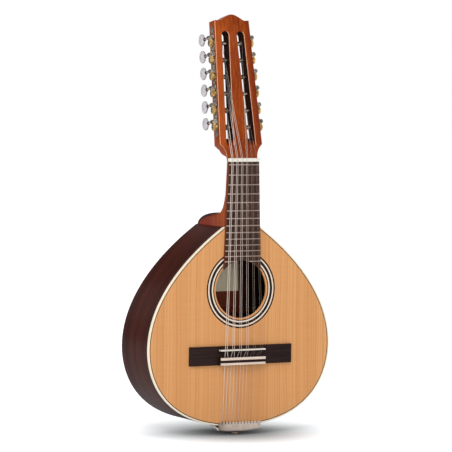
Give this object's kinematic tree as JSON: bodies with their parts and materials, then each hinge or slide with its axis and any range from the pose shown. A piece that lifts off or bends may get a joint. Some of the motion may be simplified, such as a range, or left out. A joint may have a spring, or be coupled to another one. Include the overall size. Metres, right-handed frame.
{
  "type": "bandurria",
  "caption": "Bandurria with a teardrop flat-backed body, round soundhole, tie bridge, nickel tailpiece and slotted head; its worm-and-gear machines turn.",
  "frame": {"origin": "on the middle line, in the plane of the soundboard face, level with the head end of the nut, where a yoke under the head shoulders holds the neck", "axes": "+Z along the middle string line towards the head, +Y from the soundboard to the back, +X towards the treble strings"},
  "size_m": [0.2946, 0.0948, 0.5985],
  "materials": {
    "cedar_top": "fine straight grain under clear satin lacquer",
    "rosewood": "dark red-brown straight grain, glossy lacquer",
    "mahogany": "orange-brown stain under glossy lacquer",
    "spruce": "pale bare wood",
    "ivory_binding": "ivory plastic, polished",
    "rosette_dark": "inlaid dark and pale rings, lacquered",
    "dark_fingerboard": "dark oiled wood with pores",
    "dark_bridge": "near-black brown wood, oiled",
    "bone": "polished bone",
    "nickel": "nickel plated sheet, fine brushing",
    "gear_brass": "machined brass",
    "worm_steel": "turned steel, nickel plated",
    "fret_metal": "polished nickel silver",
    "button_pearl": "pearl-grey plastic with a soft swirl",
    "string_wound": "fine metal winding",
    "string_plain": "plain drawn steel",
    "label_paper": "plain aged paper",
    "end_pin_dark": "dark turned wood"
  },
  "bodies": {
    "root": {"neck": "mahogany", "soundboard": "cedar_top", "rosette": "rosette_dark", "front_binding": "ivory_binding", "back": "rosewood", "rib_bass": "rosewood", "rib_treble": "rosewood", "lining_bass": "spruce", "lining_treble": "spruce", "tail_block": "mahogany", "top_bar_upper": "spruce", "top_bar_lower": "spruce", "back_bar": "mahogany", "label": "label_paper", "fingerboard": "dark_fingerboard", "nut": "bone", "bridge": "dark_bridge", "saddle": "bone", "tie_strip_front": "bone", "tie_strip_rear": "bone", "tailpiece": "nickel", "end_pin": "end_pin_dark", "machine_plate_bass": "nickel", "machine_plate_treble": "nickel", "string_1": "string_wound", "string_2": "string_wound", "string_3": "string_wound", "string_4": "string_wound", "string_5": "string_wound", "string_6": "string_wound", "string_7": "string_wound", "string_8": "string_wound", "string_9": "string_plain", "string_10": "string_plain", "string_11": "string_plain", "string_12": "string_plain"},
    "button_bass_1": {"button_bass_1": "button_pearl"},
    "roller_bass_1": {"roller_bass_1": "gear_brass"},
    "button_bass_2": {"button_bass_2": "button_pearl"},
    "roller_bass_2": {"roller_bass_2": "gear_brass"},
    "button_bass_3": {"button_bass_3": "button_pearl"},
    "roller_bass_3": {"roller_bass_3": "gear_brass"},
    "button_bass_4": {"button_bass_4": "button_pearl"},
    "roller_bass_4": {"roller_bass_4": "gear_brass"},
    "button_bass_5": {"button_bass_5": "button_pearl"},
    "roller_bass_5": {"roller_bass_5": "gear_brass"},
    "button_bass_6": {"button_bass_6": "button_pearl"},
    "roller_bass_6": {"roller_bass_6": "gear_brass"},
    "button_treble_1": {"button_treble_1": "button_pearl"},
    "roller_treble_1": {"roller_treble_1": "gear_brass"},
    "button_treble_2": {"button_treble_2": "button_pearl"},
    "roller_treble_2": {"roller_treble_2": "gear_brass"},
    "button_treble_3": {"button_treble_3": "button_pearl"},
    "roller_treble_3": {"roller_treble_3": "gear_brass"},
    "button_treble_4": {"button_treble_4": "button_pearl"},
    "roller_treble_4": {"roller_treble_4": "gear_brass"},
    "button_treble_5": {"button_treble_5": "button_pearl"},
    "roller_treble_5": {"roller_treble_5": "gear_brass"},
    "button_treble_6": {"button_treble_6": "button_pearl"},
    "roller_treble_6": {"roller_treble_6": "gear_brass"}
  },
  "joints": [
    {"name": "button_bass_1_turn", "type": "hinge", "parent": "root", "child": "button_bass_1", "pos_m": [-0.03724, 0.01964, 0.05131], "axis": [0, 0.9826, -0.1857], "continuous": true},
    {"name": "roller_bass_1_turn", "type": "hinge", "parent": "root", "child": "roller_bass_1", "pos_m": [-0.03317, 0.01819, 0.04364], "axis": [0.9994, -0.0066, -0.0352], "continuous": true},
    {"name": "button_bass_2_turn", "type": "hinge", "parent": "root", "child": "button_bass_2", "pos_m": [-0.03637, 0.02414, 0.07509], "axis": [0, 0.9826, -0.1857], "continuous": true},
    {"name": "roller_bass_2_turn", "type": "hinge", "parent": "root", "child": "roller_bass_2", "pos_m": [-0.0323, 0.02269, 0.06742], "axis": [0.9994, -0.0066, -0.0352], "continuous": true},
    {"name": "button_bass_3_turn", "type": "hinge", "parent": "root", "child": "button_bass_3", "pos_m": [-0.03551, 0.02863, 0.09886], "axis": [0, 0.9826, -0.1857], "continuous": true},
    {"name": "roller_bass_3_turn", "type": "hinge", "parent": "root", "child": "roller_bass_3", "pos_m": [-0.03143, 0.02718, 0.0912], "axis": [0.9994, -0.0066, -0.0352], "continuous": true},
    {"name": "button_bass_4_turn", "type": "hinge", "parent": "root", "child": "button_bass_4", "pos_m": [-0.03464, 0.03312, 0.12264], "axis": [0, 0.9826, -0.1857], "continuous": true},
    {"name": "roller_bass_4_turn", "type": "hinge", "parent": "root", "child": "roller_bass_4", "pos_m": [-0.03057, 0.03167, 0.11498], "axis": [0.9994, -0.0066, -0.0352], "continuous": true},
    {"name": "button_bass_5_turn", "type": "hinge", "parent": "root", "child": "button_bass_5", "pos_m": [-0.03377, 0.03762, 0.14642], "axis": [0, 0.9826, -0.1857], "continuous": true},
    {"name": "roller_bass_5_turn", "type": "hinge", "parent": "root", "child": "roller_bass_5", "pos_m": [-0.0297, 0.03617, 0.13876], "axis": [0.9994, -0.0066, -0.0352], "continuous": true},
    {"name": "button_bass_6_turn", "type": "hinge", "parent": "root", "child": "button_bass_6", "pos_m": [-0.03291, 0.04211, 0.1702], "axis": [0, 0.9826, -0.1857], "continuous": true},
    {"name": "roller_bass_6_turn", "type": "hinge", "parent": "root", "child": "roller_bass_6", "pos_m": [-0.02883, 0.04066, 0.16254], "axis": [0.9994, -0.0066, -0.0352], "continuous": true},
    {"name": "button_treble_1_turn", "type": "hinge", "parent": "root", "child": "button_treble_1", "pos_m": [0.03724, 0.01964, 0.05131], "axis": [0, 0.9826, -0.1857], "continuous": true},
    {"name": "roller_treble_1_turn", "type": "hinge", "parent": "root", "child": "roller_treble_1", "pos_m": [0.03317, 0.01819, 0.04364], "axis": [0.9994, 0.0066, 0.0352], "continuous": true},
    {"name": "button_treble_2_turn", "type": "hinge", "parent": "root", "child": "button_treble_2", "pos_m": [0.03637, 0.02414, 0.07509], "axis": [0, 0.9826, -0.1857], "continuous": true},
    {"name": "roller_treble_2_turn", "type": "hinge", "parent": "root", "child": "roller_treble_2", "pos_m": [0.0323, 0.02269, 0.06742], "axis": [0.9994, 0.0066, 0.0352], "continuous": true},
    {"name": "button_treble_3_turn", "type": "hinge", "parent": "root", "child": "button_treble_3", "pos_m": [0.03551, 0.02863, 0.09886], "axis": [0, 0.9826, -0.1857], "continuous": true},
    {"name": "roller_treble_3_turn", "type": "hinge", "parent": "root", "child": "roller_treble_3", "pos_m": [0.03143, 0.02718, 0.0912], "axis": [0.9994, 0.0066, 0.0352], "continuous": true},
    {"name": "button_treble_4_turn", "type": "hinge", "parent": "root", "child": "button_treble_4", "pos_m": [0.03464, 0.03312, 0.12264], "axis": [0, 0.9826, -0.1857], "continuous": true},
    {"name": "roller_treble_4_turn", "type": "hinge", "parent": "root", "child": "roller_treble_4", "pos_m": [0.03057, 0.03167, 0.11498], "axis": [0.9994, 0.0066, 0.0352], "continuous": true},
    {"name": "button_treble_5_turn", "type": "hinge", "parent": "root", "child": "button_treble_5", "pos_m": [0.03377, 0.03762, 0.14642], "axis": [0, 0.9826, -0.1857], "continuous": true},
    {"name": "roller_treble_5_turn", "type": "hinge", "parent": "root", "child": "roller_treble_5", "pos_m": [0.0297, 0.03617, 0.13876], "axis": [0.9994, 0.0066, 0.0352], "continuous": true},
    {"name": "button_treble_6_turn", "type": "hinge", "parent": "root", "child": "button_treble_6", "pos_m": [0.03291, 0.04211, 0.1702], "axis": [0, 0.9826, -0.1857], "continuous": true},
    {"name": "roller_treble_6_turn", "type": "hinge", "parent": "root", "child": "roller_treble_6", "pos_m": [0.02883, 0.04066, 0.16254], "axis": [0.9994, 0.0066, 0.0352], "continuous": true}
  ],
  "couplings": [
    {"joint": "roller_bass_1_turn", "follows": "button_bass_1_turn", "ratio": 0.071429},
    {"joint": "roller_bass_2_turn", "follows": "button_bass_2_turn", "ratio": 0.071429},
    {"joint": "roller_bass_3_turn", "follows": "button_bass_3_turn", "ratio": 0.071429},
    {"joint": "roller_bass_4_turn", "follows": "button_bass_4_turn", "ratio": 0.071429},
    {"joint": "roller_bass_5_turn", "follows": "button_bass_5_turn", "ratio": 0.071429},
    {"joint": "roller_bass_6_turn", "follows": "button_bass_6_turn", "ratio": 0.071429},
    {"joint": "roller_treble_1_turn", "follows": "button_treble_1_turn", "ratio": 0.071429},
    {"joint": "roller_treble_2_turn", "follows": "button_treble_2_turn", "ratio": 0.071429},
    {"joint": "roller_treble_3_turn", "follows": "button_treble_3_turn", "ratio": 0.071429},
    {"joint": "roller_treble_4_turn", "follows": "button_treble_4_turn", "ratio": 0.071429},
    {"joint": "roller_treble_5_turn", "follows": "button_treble_5_turn", "ratio": 0.071429},
    {"joint": "roller_treble_6_turn", "follows": "button_treble_6_turn", "ratio": 0.071429}
  ]
}
